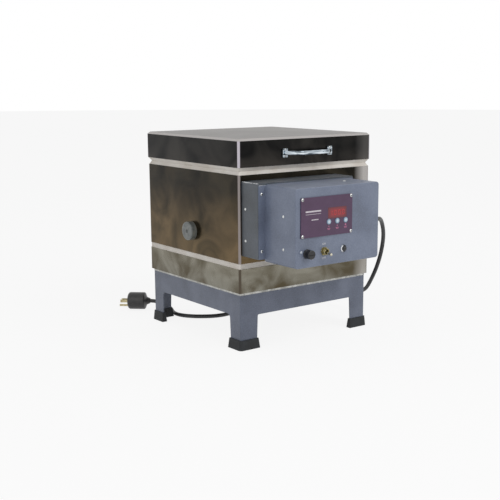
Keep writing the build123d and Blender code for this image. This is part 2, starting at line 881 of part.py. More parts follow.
with BuildPart() as lamp:
    extrude(disc(front(cover_face, lamp_x, lamp_z), lamp_r), amount=lamp_proud)
    chamfer(lamp.faces().sort_by(Axis.Y)[0].edges(), lamp_proud * 0.6)
    extrude(disc(front(cover_face, lamp_x, lamp_z), lamp_r), amount=-lamp_tail)
    extrude(disc(front(cover_face - box_sheet, lamp_x, lamp_z), lamp_r * 1.3), amount=box_sheet - lamp_tail)
save(lamp, "lamp")


def centred(reach, x, z, size):
    """A forward-facing section of the given width and height about a point."""
    return panel(reach, x - size[0] / 2, x + size[0] / 2, z - size[1] / 2, z + size[1] / 2)


# Relay, transformer and terminal block, which stand on the front of the control base
with BuildPart() as relay:
    extrude(centred(base_face, relay_x, relay_z, relay_size), amount=relay_size[2])
    chamfer(relay.faces().sort_by(Axis.Y)[0].edges(), base_corner)
save(relay, "relay")

with BuildPart() as transformer:
    coil_rise = (coil_size[2] - core_size[2]) / 2
    extrude(centred(base_face, transformer_x, transformer_z, coil_size), amount=coil_size[2])
    fillet(transformer.edges().filter_by(Axis.Y), base_corner * 2)
    extrude(centred(base_face + coil_rise, transformer_x, transformer_z, core_size), amount=core_size[2])
save(transformer, "transformer")

with BuildPart() as terminal_block:
    extrude(centred(base_face, block_x, block_z, block_size), amount=block_size[2])
    way_pitch = block_size[0] / block_ways
    for i in range(block_ways):
        way_x = block_x + (i - (block_ways - 1) / 2) * way_pitch
        extrude(
            disc(front(base_face + block_size[2], way_x, block_z), screw_head_r),
            amount=-screw_head,
            mode=Mode.SUBTRACT,
        )
save(terminal_block, "terminal_block")

# Lid: brick, band and a low-crowned top sheet with a sloping rim
top_brick_half = lid_brick_half - top_rim * (top_rim_high - top_sheet) / top_rim_high
lid_leaf_low = lid_z + knuckle_r - leaf
lid_screw_z = lid_leaf_low + lid_leaf_high / 2
foot_xs = (handle_x - handle_spacing / 2, handle_x + handle_spacing / 2)
foot_screw_zs = (handle_z - foot_screw_rise, handle_z + foot_screw_rise)
foot_screws = [(x, z) for x in foot_xs for z in foot_screw_zs]
foot_hole_r = foot_screw_r + screw_gap
with BuildPart() as lid_brick:
    loft(
        [
            square(lid_z, lid_brick_half - lid_chamfer, brick_corner),
            square(lid_z + lid_chamfer_high, lid_brick_half, brick_corner),
        ]
    )
    extrude(
        square(lid_z + lid_chamfer_high, lid_brick_half, brick_corner),
        amount=lid_band_top - lid_z - lid_chamfer_high,
    )
    loft(
        [square(lid_band_top, lid_brick_half, brick_corner), square(lid_top_z, top_brick_half, brick_corner)],
    )
    for x, z in foot_screws:
        extrude(
            disc(front(lid_brick_half, x, z), foot_hole_r),
            amount=foot_thick - foot_screw_long,
            mode=Mode.SUBTRACT,
        )
    for x in leaf_screw_xs:
        extrude(
            disc(back(lid_brick_half, x, lid_screw_z), screw_r + screw_gap),
            amount=leaf + band_sheet - leaf_screw_long,
            mode=Mode.SUBTRACT,
        )
save(lid_brick, "lid_brick")

with BuildPart() as lid_band:
    add(band(lid_z + lid_chamfer_high, lid_band_top, lid_half))
    for x, z in foot_screws:
        extrude(disc(front(lid_half, x, z), foot_hole_r), amount=-2 * band_sheet, mode=Mode.SUBTRACT)
    for x in leaf_screw_xs:
        extrude(
            disc(back(lid_half, x, lid_screw_z), screw_r + screw_gap),
            amount=-2 * band_sheet,
            mode=Mode.SUBTRACT,
        )
save(lid_band, "lid_band")

with BuildPart() as lid_sheet:
    rim_half = lid_half - top_rim
    sheet_top = lid_top_z + top_sheet
    loft([square(lid_band_top, lid_half, band_corner), square(sheet_top, rim_half, band_corner)])
    loft([square(sheet_top, rim_half, band_corner), square(sheet_top + top_crown, crown_half, band_corner)])
    loft(
        [square(lid_band_top, lid_brick_half, brick_corner), square(lid_top_z, top_brick_half, brick_corner)],
        mode=Mode.SUBTRACT,
    )
    loft(
        [square(lid_top_z, top_brick_half, brick_corner), square(lid_top_z + top_crown, crown_half, brick_corner)],
        mode=Mode.SUBTRACT,
    )
save(lid_sheet, "lid_sheet")

# Lid handle: a bow with a flat foot at each end, screwed through the lid band
with BuildPart() as lid_handle:
    for x in foot_xs:
        foot_edges = (
            x - foot_wide / 2, x + foot_wide / 2, handle_z - foot_high / 2, handle_z + foot_high / 2
        )
        extrude(panel(lid_half, *foot_edges, foot_round), amount=foot_thick)
    with BuildLine() as bow:
        FilletPolyline(
            at(foot_xs[0], -lid_half - foot_thick, handle_z),
            at(handle_x - handle_grip / 2, -lid_half - handle_reach, handle_z),
            at(handle_x + handle_grip / 2, -lid_half - handle_reach, handle_z),
            at(foot_xs[1], -lid_half - foot_thick, handle_z),
            radius=handle_bend,
        )
    bow_path = bow.wire()
    with BuildSketch(Plane(origin=bow_path @ 0, x_dir=(0, 0, 1), z_dir=bow_path % 0)) as bow_section:
        RectangleRounded(grip_high, grip_deep, grip_deep * 0.4)
    sweep(sections=bow_section.sketch, path=bow_path)
    groove_long = handle_grip / 2 - handle_bend
    groove_edges = (
        handle_x - groove_long,
        handle_x + groove_long,
        handle_z - grip_groove,
        handle_z + grip_groove,
    )
    grip_face = lid_half + handle_reach + grip_deep / 2
    extrude(panel(grip_face, *groove_edges, grip_groove * 0.9), amount=-grip_groove, mode=Mode.SUBTRACT)
    for x, z in foot_screws:
        extrude(disc(front(lid_half, x, z), foot_hole_r), amount=foot_thick, mode=Mode.SUBTRACT)
save(lid_handle, "lid_handle")

with BuildPart() as handle_screws:
    for x, z in foot_screws:
        foot_face = front(lid_half + foot_thick, x, z)
        add(pan_head_screw(foot_face, foot_screw_head_r, foot_screw_head, foot_screw_r, foot_screw_long))
save(handle_screws, "handle_screws")

# Hinge: five knuckles on one pin, three with the body's leaf and two with the lid's
knuckle_long = (hinge_long - (knuckle_count - 1) * knuckle_gap) / knuckle_count


def knuckle(i, radius):
    """The section of a knuckle, on the plane of its left end."""
    return disc(right(i * (knuckle_long + knuckle_gap) - hinge_long / 2, hinge_y, lid_z), radius)


def web(i, z_low, leaf_face):
    """The part of the leaf that reaches from its face to a knuckle."""
    x_low = i * (knuckle_long + knuckle_gap) - hinge_long / 2
    return panel(-leaf_face, x_low, x_low + knuckle_long, z_low, z_low + leaf)


def hinge_leaf(face, z_low, z_high, web_low, knuckles, screw_z):
    """A leaf on the rear face at the given reach, with its knuckles and its screw holes."""
    with BuildPart() as half:
        extrude(panel(-face, -hinge_long / 2, hinge_long / 2, z_low, z_high), amount=-leaf)
        for i in knuckles:
            extrude(web(i, web_low, face), amount=face - hinge_y)
            extrude(knuckle(i, knuckle_r), amount=knuckle_long)
        for i in knuckles:
            extrude(knuckle(i, hinge_pin_r + hinge_pin_gap), amount=knuckle_long, mode=Mode.SUBTRACT)
        for x in leaf_screw_xs:
            extrude(disc(back(face, x, screw_z), screw_r + screw_gap), amount=leaf, mode=Mode.SUBTRACT)
    return half


body_leaf_low = lid_z - body_leaf_high
body_screw_z = lid_z - body_leaf_high / 2
body_hinge = hinge_leaf(
    case_half, body_leaf_low, lid_z - leaf_gap, lid_z - knuckle_r, range(0, knuckle_count, 2), body_screw_z
)
save(body_hinge, "body_hinge")
lid_hinge = hinge_leaf(
    lid_half, lid_leaf_low, lid_leaf_low + lid_leaf_high, lid_leaf_low, range(1, knuckle_count, 2), lid_screw_z
)
save(lid_hinge, "lid_hinge")

with BuildPart() as hinge_pin:
    extrude(disc(right(-hinge_long / 2, hinge_y, lid_z), hinge_pin_r), amount=hinge_long)
    for end in (right(hinge_long / 2, hinge_y, lid_z), left(hinge_long / 2, hinge_y, lid_z)):
        extrude(disc(end, hinge_pin_head_r), amount=hinge_pin_head)
save(hinge_pin, "hinge_pin")

for name, face, z in (
    ("body_hinge_screws", case_half, body_screw_z), ("lid_hinge_screws", lid_half, lid_screw_z)
):
    with BuildPart() as leaf_screws:
        for x in leaf_screw_xs:
            add(pan_head_screw(back(face + leaf, x, z), screw_head_r, screw_head, screw_r, leaf_screw_long))
    save(leaf_screws, name)

# Power cord: out of the cover's right side, round the kiln and behind it to the plug
cord_rest = cord_r + floor_gap
cord_points = (
    (cover_right + relief_long, -relief_reach, relief_z),
    (128, -232, 240),
    (161, -208, 233),
    (186, -190, 205),
    (202, -173, 178),
    (211, -157, 146),
    (213, -143, 115),
    (215, -124, 84),
    (221, -101, 58),
    (229, -64, 44),
    (231, -22, 36),
    (224, 24, 26),
    (207, 68, 13),
    (178, 104, cord_rest),
    (138, 124, cord_rest),
    (93, 122, cord_rest),
    (48, 107, cord_rest),
    (8, 90, cord_rest),
    (-28, 80, cord_rest),
    (-58, 84, cord_rest),
    (-84, 101, cord_rest),
    (-100, 118, cord_rest),
    (-110, 137, cord_rest),
    (-112, 155, cord_rest),
    (-108.3, 173.1, cord_rest),
    (-101.5, 191.3, 7.3),
    (-101.1, 207.5, 11.2),
    (-105.6, 222.0, 15.7),
    (-114.4, 234.6, 18.7),
    (-124.9, 243.9, plug_r),
)
route = [at(*point) for point in cord_points]
cord_radii = []
for before, here, after in zip(route, route[1:], route[2:]):
    turn = radians((here - before).get_angle(after - here))
    cord_radii.append(0.45 * min((here - before).length, (after - here).length) / tan(turn / 2))
print("cord radii", [round(r) for r in cord_radii], "least", 10 * cord_r)
cord_start = Plane(origin=route[0], z_dir=route[1] - route[0])
cord_end = Plane(origin=route[-1], z_dir=route[-1] - route[-2])
with BuildPart() as power_cord:
    with BuildLine() as cord_line:
        FilletPolyline(*route, radius=cord_radii)
    cord_path = cord_line.wire()
    sweep(sections=disc(cord_start, cord_r), path=cord_path)
print("cord volume", power_cord.part.volume, "section by length", pi * cord_r**2 * cord_path.length)
save(power_cord, "power_cord")

# Strain relief: a threaded neck with a nut inside the cover and a tapered sleeve outside
with BuildPart() as strain_relief:
    relief_root = right(cover_right, -relief_reach, relief_z)
    extrude(disc(relief_root, relief_flange_r), amount=relief_flange)
    sleeve_root = right(cover_right + relief_flange, -relief_reach, relief_z)
    loft([disc(sleeve_root, relief_root_r), disc(cord_start, relief_tip_r)])
    extrude(disc(relief_root, relief_neck_r), amount=-box_sheet - relief_nut)
    with BuildSketch(right(cover_right - box_sheet, -relief_reach, relief_z)) as nut_face:
        RegularPolygon(relief_nut_r, 6, major_radius=False)
    extrude(nut_face.sketch, amount=-relief_nut)
save(strain_relief, "strain_relief")

# Plug: a boot, a shoulder and a stout body, with three prongs in its face
plug_way = Vector(route[-1].X - route[-2].X, route[-1].Y - route[-2].Y, 0).normalized()


def plug_plane(along, aside=0.0, down=0.0):
    """A plane across the plug, its drawing's y up."""
    across = plug_way.cross(Vector(0, 0, 1))
    origin = route[-1] + plug_way * along + across * aside - Vector(0, 0, down)
    return Plane(origin=origin, x_dir=across, z_dir=plug_way)


with BuildPart() as plug_body:
    profile_plane = Plane(origin=route[-1], x_dir=plug_way, z_dir=plug_way.cross(Vector(0, 0, 1)))
    with BuildSketch(profile_plane) as half_body:
        with BuildLine():
            Polyline(
                (plug_boot, 0),
                (plug_boot, plug_neck_r),
                (plug_boot + plug_shoulder, plug_r),
                (plug_long, plug_r),
                (plug_long, 0),
                close=True,
            )
        make_face()
        fillet(
            half_body.vertices().sort_by_distance((plug_boot + plug_shoulder, plug_r))[0], plug_shoulder_round
        )
        fillet(half_body.vertices().sort_by_distance((plug_long, plug_r))[0], plug_face_round)
    revolve(axis=Axis(route[-1], plug_way))
    loft([disc(cord_end, plug_boot_r), disc(plug_plane(plug_boot), plug_neck_r)])
save(plug_body, "plug_body")

with BuildPart() as plug_prongs:
    for aside in (-blade_apart, blade_apart):
        with BuildSketch(plug_plane(plug_long, aside)) as blade:
            Rectangle(blade_thick, blade_wide)
        extrude(blade.sketch, amount=blade_long)
    extrude(disc(plug_plane(plug_long, 0, ground_drop), ground_r), amount=ground_long)
save(plug_prongs, "plug_prongs")
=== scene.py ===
"""A small top-loading electric kiln: finishes, fine pieces, floor, light and camera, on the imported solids."""

import math

import bmesh
import bpy
from mathutils import Matrix, Vector


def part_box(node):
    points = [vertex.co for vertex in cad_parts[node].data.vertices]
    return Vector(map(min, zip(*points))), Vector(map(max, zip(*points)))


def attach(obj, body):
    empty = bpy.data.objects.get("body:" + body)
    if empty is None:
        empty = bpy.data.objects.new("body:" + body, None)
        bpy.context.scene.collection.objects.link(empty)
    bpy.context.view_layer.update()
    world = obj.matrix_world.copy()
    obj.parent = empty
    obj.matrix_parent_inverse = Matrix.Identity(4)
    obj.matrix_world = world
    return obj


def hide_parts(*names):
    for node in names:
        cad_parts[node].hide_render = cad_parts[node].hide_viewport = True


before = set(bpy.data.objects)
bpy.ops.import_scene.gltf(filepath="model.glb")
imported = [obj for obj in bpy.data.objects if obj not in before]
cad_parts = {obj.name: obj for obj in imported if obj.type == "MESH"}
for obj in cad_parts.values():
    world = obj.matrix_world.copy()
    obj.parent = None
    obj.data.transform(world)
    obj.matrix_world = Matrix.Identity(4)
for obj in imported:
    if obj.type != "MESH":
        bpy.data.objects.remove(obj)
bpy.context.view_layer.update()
scene = bpy.context.scene
scene.view_settings.view_transform = "Standard"

# Camera: seen from the left of the front, a little above the lid, through a moderate long lens.
# Distances are in millimetres from the kiln's centre line and the floor, as for every piece below.
body_low, body_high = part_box("body_band")
centre = Vector(((body_low[0] + body_high[0]) / 2, (body_low[1] + body_high[1]) / 2, 0))


def at(x, y, z):
    """A point in metres, from millimetres off the kiln's centre line."""
    return centre + Vector((x, y, z)) / 1000


frame_px = 500
focal_px = 952.56
axis_px = Vector((280.0, 262.73))
aim_px = Vector((257.46, 220.76))
# The camera's turn about the kiln, its height above the level and its roll.
swing, rise, tilt = math.radians(-37.92), math.radians(11.01), math.radians(-0.11)
away = 2018.43
look_height = 220
back = Vector((math.sin(swing) * math.cos(rise), -math.cos(swing) * math.cos(rise), math.sin(rise)))
level_right = Vector((math.cos(swing), math.sin(swing), 0))
level_up = back.cross(level_right)
right = level_right * math.cos(tilt) + level_up * math.sin(tilt)
up = level_up * math.cos(tilt) - level_right * math.sin(tilt)
aside = (aim_px - axis_px) / focal_px * away
lens = bpy.data.cameras.new("camera")
lens.sensor_width = 36
lens.lens = focal_px / frame_px * lens.sensor_width
lens.shift_x = (frame_px / 2 - axis_px.x) / frame_px
lens.shift_y = (axis_px.y - frame_px / 2) / frame_px
lens.clip_end = 60
camera = bpy.data.objects.new("camera", lens)
scene.collection.objects.link(camera)
stand_point = at(*(Vector((0, 0, look_height)) + back * away - right * aside.x + up * aside.y))
camera.matrix_world = Matrix.Translation(stand_point) @ Matrix((right, up, back)).transposed().to_4x4()
scene.camera = camera


# Floor and light: a white floor with soft shadows, one broad lamp over the front and a weaker one
# from the left.
def add_node(tree, kind, **inputs):
    """Adds a shader node; an input may be a value, a socket to link, or an attribute of the node."""
    made = tree.nodes.new("ShaderNode" + kind)
    for key, value in inputs.items():
        name = key.replace("_", " ")
        if name in made.inputs:
            if isinstance(value, bpy.types.NodeSocket):
                tree.links.new(value, made.inputs[name])
            else:
                made.inputs[name].default_value = value
        else:
            setattr(made, key, value)
    return made


def maths(tree, operation, first, second=0.0, third=0.0):
    """One sum; each term is a number or a socket."""
    made = add_node(tree, "Math", operation=operation)
    for socket, value in zip(made.inputs, (first, second, third)):
        if isinstance(value, bpy.types.NodeSocket):
            tree.links.new(value, socket)
        else:
            socket.default_value = value
    return made.outputs[0]


def colour(red, green, blue):
    """A linear colour from the 0 to 255 values that it shows as."""
    parts = (red / 255, green / 255, blue / 255)
    linear = [part / 12.92 if part < 0.04 else ((part + 0.055) / 1.055) ** 2.4 for part in parts]
    return (*linear, 1.0)


def looked_at(tree):
    """One for rays that the camera follows, straight, mirrored or through glass; nought for the rest."""
    ray = add_node(tree, "LightPath").outputs
    seen = maths(tree, "MAXIMUM", ray["Is Camera Ray"], ray["Is Glossy Ray"])
    return maths(tree, "MAXIMUM", seen, ray["Is Transmission Ray"])


def mixed_light(tree, amount, first, second):
    """Two shaders or two backgrounds, mixed by the amount."""
    made = add_node(tree, "MixShader", Fac=amount)
    tree.links.new(first, made.inputs[1])
    tree.links.new(second, made.inputs[2])
    return made.outputs[0]


floor_mesh = bpy.data.meshes.new("floor")
form = bmesh.new()
bmesh.ops.create_circle(form, cap_ends=True, segments=96, radius=14)
form.to_mesh(floor_mesh)
form.free()
floor = bpy.data.objects.new("floor", floor_mesh)
scene.collection.objects.link(floor)
floor_white = bpy.data.materials.new("floor_white")
floor_white.use_nodes = True
tree = floor_white.node_tree
tree.nodes.clear()
matte = add_node(tree, "BsdfDiffuse", Color=(0.94, 0.94, 0.94, 1)).outputs[0]
glow = add_node(tree, "Emission", Color=(1, 1, 1, 1), Strength=1.0).outputs[0]
floor_glow = 0.87
whole = mixed_light(tree, looked_at(tree), matte, mixed_light(tree, floor_glow, matte, glow))
tree.links.new(whole, add_node(tree, "OutputMaterial").inputs["Surface"])
floor_mesh.materials.append(floor_white)

world = bpy.data.worlds.new("studio")
scene.world = world
world.use_nodes = True
tree = world.node_tree
tree.nodes.clear()
soft = add_node(tree, "Background", Color=(1, 1, 1, 1), Strength=0.48).outputs[0]
white = add_node(tree, "Background", Color=(1, 1, 1, 1), Strength=1.0).outputs[0]
sky = mixed_light(tree, looked_at(tree), soft, white)
tree.links.new(sky, add_node(tree, "OutputWorld").inputs["Surface"])

for name, place, watts, size in (
    ("key_lamp", (500, -2200, 1900), 22, 1.8),
    ("fill_lamp", (-2000, -700, 1300), 6, 1.6),
):
    lamp = bpy.data.lights.new(name, "AREA")
    lamp.energy = watts
    lamp.size = size
    lamp_object = bpy.data.objects.new(name, lamp)
    scene.collection.objects.link(lamp_object)
    lamp_object.location = at(*place)
    beam = at(0, 0, look_height) - lamp_object.location
    lamp_object.rotation_euler = beam.to_track_quat("-Z", "Y").to_euler()


# Stand: an apron of folded sheet with a flange turned in at its top, welded to four L legs and
# stove-enamelled in a blue-grey hammer finish.
def start_finish(name, rough, metal=0.0, **plain):
    """A new material; returns its tree, its shader and the object coordinates."""
    made = bpy.data.materials.new(name)
    made.use_nodes = True
    shader = made.node_tree.nodes["Principled BSDF"]
    shader.inputs["Roughness"].default_value = rough
    shader.inputs["Metallic"].default_value = metal
    for key, value in plain.items():
        shader.inputs[key.replace("_", " ")].default_value = value
    return made.node_tree, shader, add_node(made.node_tree, "TexCoord").outputs["Object"]


def noise(tree, where, scale, **more):
    """Cloudy noise from 0 to 1; the scale is how many blotches fit in a metre."""
    return add_node(tree, "TexNoise", Vector=where, Scale=scale, **more).outputs["Fac"]


def ranged(tree, value, low, high, at_low=0.0, at_high=1.0):
    """The value, spread from one pair of limits to another and held at both ends."""
    limits = {"From_Min": low, "From_Max": high, "To_Min": at_low, "To_Max": at_high}
    return add_node(tree, "MapRange", Value=value, **limits).outputs["Result"]


def stops(tree, amount, *marks):
    """A colour that runs through the marks, each a position and a shade, as the amount grows."""
    ramp = add_node(tree, "ValToRGB", Fac=amount)
    band = ramp.color_ramp
    while len(band.elements) < len(marks):
        band.elements.new(0.5)
    for element, (place, shade) in zip(band.elements, marks):
        element.position = place
        element.color = colour(*shade)
    return ramp.outputs["Color"]


def surface(tree, shader, shade):
    """Gives the surface its colour."""
    tree.links.new(shade, shader.inputs["Base Color"])


def tinted(tree, shader, amount, *marks):
    """Gives the surface shades that run through the marks."""
    surface(tree, shader, stops(tree, amount, *marks))


def relief(tree, shader, height, depth, strength=1.0):
    """Raises the surface by up to the given depth in metres."""
    bump = add_node(tree, "Bump", Height=height, Distance=depth, Strength=strength)
    tree.links.new(bump.outputs[0], shader.inputs["Normal"])


def finish_of(tree):
    """The material that a tree belongs to."""
    return next(material for material in bpy.data.materials if material.node_tree == tree)


def dress(tree, *names):
    """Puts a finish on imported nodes."""
    finish = finish_of(tree)
    for name in names:
        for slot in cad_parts[name].material_slots:
            slot.link = "OBJECT"
            slot.material = finish
    return finish


def hammer_paint(name, deep, base, pale):
    """Hammer-finish enamel: cells a couple of millimetres wide, with slow clouds of shade."""
    tree, shader, where = start_finish(name, 0.42, Coat_Weight=0.15, Coat_Roughness=0.2)
    cloud = noise(tree, where, 16.0, Detail=3.0)
    cell = add_node(tree, "TexVoronoi", Vector=where, Scale=420.0, feature="SMOOTH_F1", Smoothness=0.6)
    cells = cell.outputs["Distance"]
    fine = noise(tree, where, 900.0, Detail=2.0)
    mottle = maths(tree, "MULTIPLY_ADD", cells, 0.28, cloud)
    tinted(tree, shader, mottle, (0.42, deep), (0.6, base), (0.84, pale))
    relief(tree, shader, maths(tree, "ADD", cells, fine), 0.00018, 0.8)
    return tree, shader, where


stand_paint, _, _ = hammer_paint("stand_paint", (84, 91, 106), (98, 105, 122), (112, 119, 136))
dress(stand_paint, "stand")

# Foot caps: four L-shaped boots of black moulded rubber, pushed over the ends of the legs, dusty
# where they have stood on the floor.
foot_rubber, shader, where = start_finish("foot_rubber", 0.68)
dust = noise(foot_rubber, where, 55.0, Detail=5.0)
tinted(foot_rubber, shader, dust, (0.3, (19, 21, 23)), (0.75, (38, 42, 46)))
relief(foot_rubber, shader, noise(foot_rubber, where, 1400.0), 0.00012, 0.6)
dress(foot_rubber, "foot_caps")

# Base pan: a tray of galvanised sheet, turned upside down on the stand under the floor slab, with
# the spangle of the zinc left bare.
zinc, shader, where = start_finish("zinc", 0.42, 0.85)
spangle = add_node(zinc, "TexVoronoi", Vector=where, Scale=150.0).outputs["Color"]
tinted(zinc, shader, spangle, (0.1, (150, 150, 146)), (0.9, (196, 196, 192)))
dress(zinc, "base_pan")

# Firebrick: soft pale insulating brick with open pores and a few rusty grains, sawn into slabs,
# ground flat and laid dry inside the steel; the four walls are grooved for the heating coils.
def blended(tree, amount, first, second):
    """Two colours or sockets, mixed by the amount."""
    made = add_node(tree, "Mix", data_type="RGBA")
    for index, value in ((0, amount), (6, first), (7, second)):
        if isinstance(value, bpy.types.NodeSocket):
            tree.links.new(value, made.inputs[index])
        else:
            made.inputs[index].default_value = value
    return made.outputs[2]


brick, shader, where = start_finish("firebrick", 0.93)
stain = noise(brick, where, 18.0, Detail=6.0, Roughness=0.65)
brick_base = stops(brick, stain, (0.3, (214, 206, 196)), (0.55, (230, 225, 218)), (0.8, (240, 237, 232)))
grains = add_node(brick, "TexVoronoi", Vector=where, Scale=260.0).outputs["Distance"]
speck = ranged(brick, grains, 0.05, 0.16, 1.0, 0.0)
patchy = maths(brick, "MULTIPLY", speck, noise(brick, where, 90.0))
surface(brick, shader, blended(brick, patchy, brick_base, colour(176, 140, 104)))
pores = noise(brick, where, 700.0, Detail=6.0, Roughness=0.7)
relief(brick, shader, pores, 0.0006, 0.7)
dress(brick, "floor_brick", "front_wall", "back_wall", "left_wall", "right_wall", "lid_brick")


# Case: bright-rolled steel sheet, wrapped round the bricks and folded at the corners. Its dark,
# cloudy shades are a painted reflection, with painted light down the corners and a painted
# reflection towards the right end of each front; the body's band runs paler and browner lower down.
def axes(tree, where):
    """The three object coordinates, measured from the kiln's centre line."""
    moved = add_node(tree, "Mapping", Vector=where, Location=-centre)
    return add_node(tree, "SeparateXYZ", Vector=moved.outputs[0]).outputs


# Painted reflection on each band's front, paler towards its right end: where it starts, where it is full, and
# the face it lies on.
painted_reflection_from, painted_reflection_full, front_skin = 124, 150, -162
# How far in from each corner the painted corner light starts, and where it is full.
corner_light_start, corner_light_full = 4.2, 3.2


def sheet_steel(name, fold_half, painted_corner_light, rough, top, top_shades, foot, foot_shades, painted_end_reflection):
    """Polished sheet, its shades a painted reflection: one pair at its top height, another at its foot."""
    tree, shader, where = start_finish(name, rough, 1.0)
    x, y, z = axes(tree, where)
    drift = noise(tree, where, 7.0, Detail=4.0, Distortion=0.6)
    height = ranged(tree, z, foot / 1000, top / 1000)
    height = maths(tree, "MULTIPLY_ADD", maths(tree, "SUBTRACT", drift, 0.5), 0.9, height)
    height = add_node(tree, "Clamp", Value=height).outputs[0]
    # The dark, cloudy shades of the sheet are a painted reflection.
    painted_reflection_patches = noise(tree, where, 11.0, Detail=5.0, Distortion=1.2)
    high = stops(tree, painted_reflection_patches, (0.34, top_shades[0]), (0.7, top_shades[1]))
    low = stops(tree, painted_reflection_patches, (0.36, foot_shades[0]), (0.66, foot_shades[1]))
    skin = blended(tree, height, low, high)
    # Painted reflection: the front face turns paler towards its right end.
    end = ranged(tree, x, painted_reflection_from / 1000, painted_reflection_full / 1000, 0.0, painted_end_reflection)
    painted_reflection_mask = maths(tree, "MULTIPLY", end, maths(tree, "LESS_THAN", y, front_skin / 1000))
    skin = blended(tree, painted_reflection_mask, skin, colour(186, 182, 179))
    # Painted light down each corner: a highlight on the lid and body bands, a shade on the floor band.
    corner = maths(tree, "MINIMUM", maths(tree, "ABSOLUTE", x), maths(tree, "ABSOLUTE", y))
    painted_corner = ranged(tree, corner, (fold_half - corner_light_start) / 1000, (fold_half - corner_light_full) / 1000)
    surface(tree, shader, blended(tree, painted_corner, skin, colour(*painted_corner_light)))
    scuff = noise(tree, where, 60.0, Detail=6.0)
    tree.links.new(ranged(tree, scuff, 0.0, 1.0, rough * 0.7, rough * 1.5), shader.inputs["Roughness"])
    relief(tree, shader, noise(tree, where, 4.0), 0.004, 0.25)
    return tree


lid_steel = sheet_steel(
    "lid_steel",
    fold_half=166.4,
    painted_corner_light=(190, 184, 192),
    rough=0.2,
    top=404,
    top_shades=((27, 27, 27), (50, 49, 47)),
    foot=350,
    foot_shades=((29, 28, 28), (58, 55, 52)),
    painted_end_reflection=0.12,
)
dress(lid_steel, "lid_band")
body_steel = sheet_steel(
    "body_steel",
    fold_half=165.0,
    painted_corner_light=(142, 134, 132),
    rough=0.2,
    top=312,
    top_shades=((24, 23, 20), (56, 51, 42)),
    foot=190,
    foot_shades=((74, 63, 44), (112, 94, 68)),
    painted_end_reflection=0.85,
)
dress(body_steel, "body_band")
floor_steel = sheet_steel(
    "floor_steel",
    fold_half=165.0,
    painted_corner_light=(86, 78, 68),
    rough=0.26,
    top=158,
    top_shades=((92, 86, 70), (146, 142, 130)),
    foot=115,
    foot_shades=((84, 76, 60), (142, 140, 130)),
    painted_end_reflection=0.45,
)
dress(floor_steel, "floor_band")

# Lid top: one sheet of steel over the lid's brick, low-crowned, with a sloping rim that carries a
# painted highlight where it meets the band.
top_sheet, shader, where = start_finish("top_sheet", 0.4, 0.75)
_, _, z = axes(top_sheet, where)
cloud = noise(top_sheet, where, 6.0, Detail=6.0, Roughness=0.6)
flat = stops(top_sheet, cloud, (0.3, (96, 92, 88)), (0.52, (106, 102, 99)), (0.75, (118, 115, 114)))
rim_low, rim_high = 406.2, 406.6
# Painted highlight along the rim, pale where the sheet slopes down to the band.
painted_rim_highlight = ranged(top_sheet, z, rim_low / 1000, rim_high / 1000, 1.0, 0.0)
surface(top_sheet, shader, blended(top_sheet, painted_rim_highlight, flat, colour(176, 172, 170)))
grain = add_node(top_sheet, "Mapping", Vector=where, Scale=(1.0, 40.0, 1.0)).outputs[0]
relief(top_sheet, shader, noise(top_sheet, grain, 90.0, Detail=4.0), 0.00008, 0.5)
dress(top_sheet, "lid_sheet")


# Heating elements: in each of the four wall grooves a close-wound coil of resistance wire,
# oxidised to a dark brown skin, lies on the groove's floor and is held down by its own spring.
coil_radius, wire_radius, turn_pitch = 3.3, 0.7, 5.0
groove_heights = (192.9, 236.9, 280.9, 324.9)
course_half, course_corner = 108.2, 12.0
course = bpy.data.curves.new("coil_course", "CURVE")
course.dimensions = "3D"
course.twist_mode = "Z_UP"
course.resolution_u = 10
spline = course.splines.new("BEZIER")
spline.bezier_points.add(7)
quarter_round = 0.5523
handle = course_corner * quarter_round
for quarter in range(4):
    turned = Matrix.Rotation(quarter * math.pi / 2, 3, "Z")
    for index, point, before, after in (
        (2 * quarter, (course_corner - course_half, -course_half), (-handle, 0), (course_corner, 0)),
        (2 * quarter + 1, (course_half - course_corner, -course_half), (-course_corner, 0), (handle, 0)),
    ):
        node = spline.bezier_points[index]
        node.handle_left_type = node.handle_right_type = "FREE"
        node.co = at(*(turned @ Vector((*point, 0))))
        node.handle_left = node.co + turned @ Vector((*before, 0)) / 1000
        node.handle_right = node.co + turned @ Vector((*after, 0)) / 1000
spline.use_cyclic_u = True
course_object = bpy.data.objects.new("coil_course", course)
scene.collection.objects.link(course_object)
course_long = 8 * (course_half - course_corner) + 2 * math.pi * course_corner
turns = int(course_long / turn_pitch)

form = bmesh.new()
ring = bmesh.ops.create_circle(
    form,
    segments=5,
    radius=wire_radius / 1000,
    matrix=Matrix.Translation((0, 0, coil_radius / 1000)) @ Matrix.Rotation(math.pi / 2, 4, "X"),
)["verts"]
bmesh.ops.spin(
    form,
    geom=ring + form.edges[:],
    axis=(1, 0, 0),
    dvec=(turn_pitch / 12000, 0, 0),
    angle=2 * math.pi,
    steps=12,
)
bmesh.ops.recalc_face_normals(form, faces=form.faces[:])
one_turn = bpy.data.meshes.new("coil_turn")
form.to_mesh(one_turn)
form.free()
turn_object = bpy.data.objects.new("coil_turn", one_turn)
scene.collection.objects.link(turn_object)
row = turn_object.modifiers.new("row", "ARRAY")
row.count = turns
row.use_relative_offset = False
row.use_constant_offset = True
row.constant_offset_displace = (course_long / turns / 1000, 0, 0)
row.use_merge_vertices = True
row.merge_threshold = 0.0002
bend = turn_object.modifiers.new("bend", "CURVE")
bend.object = course_object
bend.deform_axis = "POS_X"
one_coil = bpy.data.meshes.new_from_object(turn_object.evaluated_get(bpy.context.evaluated_depsgraph_get()))
bpy.data.objects.remove(turn_object)
bpy.data.objects.remove(course_object)
form = bmesh.new()
for height in groove_heights:
    first = len(form.verts)
    form.from_mesh(one_coil)
    bmesh.ops.translate(form, verts=form.verts[first:], vec=(0, 0, height / 1000))


